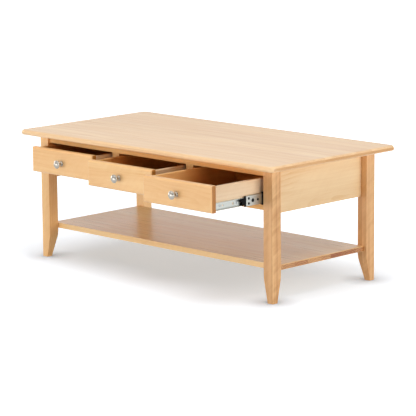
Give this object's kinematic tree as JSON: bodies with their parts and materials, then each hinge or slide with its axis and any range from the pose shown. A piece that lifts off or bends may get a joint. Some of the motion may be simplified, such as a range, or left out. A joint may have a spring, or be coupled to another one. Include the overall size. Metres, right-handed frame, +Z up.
{
  "type": "coffee table with drawers",
  "caption": "Long low wooden coffee table with inset drawers on telescopic ball runners, round metal knobs, a lower shelf and square legs tapered at the foot.",
  "frame": {"origin": "on the floor, in the middle of the four feet", "axes": "+X along the table's length to the right, -Y towards the drawer fronts, +Z up"},
  "size_m": [1.2, 0.8, 0.45],
  "materials": {
    "solid_wood": "satin lacquer over pale edge-glued hardwood",
    "case_wood": "plain sanded inner panel",
    "drawer_wood": "pale sanded drawer board with a thin clear coat",
    "plywood": "thin plywood sheet",
    "dowel_wood": "beech dowel",
    "runner_steel": "bright zinc-plated sheet",
    "ball_steel": "polished balls",
    "screw_steel": "zinc-plated screws",
    "nickel": "satin nickel",
    "black_plastic": "moulded black plastic"
  },
  "bodies": {
    "table": {"table_top": "solid_wood", "front_left_leg": "solid_wood", "front_right_leg": "solid_wood", "back_left_leg": "solid_wood", "back_right_leg": "solid_wood", "left_side_panel": "solid_wood", "right_side_panel": "solid_wood", "back_panel": "solid_wood", "top_rail": "solid_wood", "lower_rail": "solid_wood", "left_stile": "solid_wood", "right_stile": "solid_wood", "left_partition": "case_wood", "right_partition": "case_wood", "shelf": "solid_wood", "runner_cleats": "case_wood", "dowels": "dowel_wood", "fixed_runner_screws": "screw_steel", "left_fixed_runners": "runner_steel", "centre_fixed_runners": "runner_steel", "right_fixed_runners": "runner_steel", "left_runner_mouths": "black_plastic", "centre_runner_mouths": "black_plastic", "right_runner_mouths": "black_plastic"},
    "left_drawer": {"left_drawer_front": "solid_wood", "left_drawer_left_side": "drawer_wood", "left_drawer_right_side": "drawer_wood", "left_drawer_back": "drawer_wood", "left_drawer_bottom": "plywood", "left_knob": "nickel", "left_knob_screw": "screw_steel", "left_sliding_runners": "runner_steel", "left_runner_screws": "screw_steel"},
    "left_runner_set": {"left_middle_runners": "runner_steel", "left_runner_stops": "black_plastic", "left_runner_balls": "ball_steel"},
    "centre_drawer": {"centre_drawer_front": "solid_wood", "centre_drawer_left_side": "drawer_wood", "centre_drawer_right_side": "drawer_wood", "centre_drawer_back": "drawer_wood", "centre_drawer_bottom": "plywood", "centre_knob": "nickel", "centre_knob_screw": "screw_steel", "centre_sliding_runners": "runner_steel", "centre_runner_screws": "screw_steel"},
    "centre_runner_set": {"centre_middle_runners": "runner_steel", "centre_runner_stops": "black_plastic", "centre_runner_balls": "ball_steel"},
    "right_drawer": {"right_drawer_front": "solid_wood", "right_drawer_left_side": "drawer_wood", "right_drawer_right_side": "drawer_wood", "right_drawer_back": "drawer_wood", "right_drawer_bottom": "plywood", "right_knob": "nickel", "right_knob_screw": "screw_steel", "right_sliding_runners": "runner_steel", "right_runner_screws": "screw_steel"},
    "right_runner_set": {"right_middle_runners": "runner_steel", "right_runner_stops": "black_plastic", "right_runner_balls": "ball_steel"}
  },
  "joints": [
    {"name": "left_drawer_slide", "type": "slide", "parent": "table", "child": "left_drawer", "axis": [0, -1, 0], "range_m": [-0.081, 0.319]},
    {"name": "left_runner_slide", "type": "slide", "parent": "table", "child": "left_runner_set", "axis": [0, -1, 0], "range_m": [-0.0405, 0.1595]},
    {"name": "centre_drawer_slide", "type": "slide", "parent": "table", "child": "centre_drawer", "axis": [0, -1, 0], "range_m": [-0.143, 0.257]},
    {"name": "centre_runner_slide", "type": "slide", "parent": "table", "child": "centre_runner_set", "axis": [0, -1, 0], "range_m": [-0.0715, 0.1285]},
    {"name": "right_drawer_slide", "type": "slide", "parent": "table", "child": "right_drawer", "axis": [0, -1, 0], "range_m": [-0.225, 0.175]},
    {"name": "right_runner_slide", "type": "slide", "parent": "table", "child": "right_runner_set", "axis": [0, -1, 0], "range_m": [-0.1125, 0.0875]}
  ],
  "couplings": [
    {"joint": "left_runner_slide", "follows": "left_drawer_slide", "ratio": 0.5},
    {"joint": "centre_runner_slide", "follows": "centre_drawer_slide", "ratio": 0.5},
    {"joint": "right_runner_slide", "follows": "right_drawer_slide", "ratio": 0.5}
  ]
}
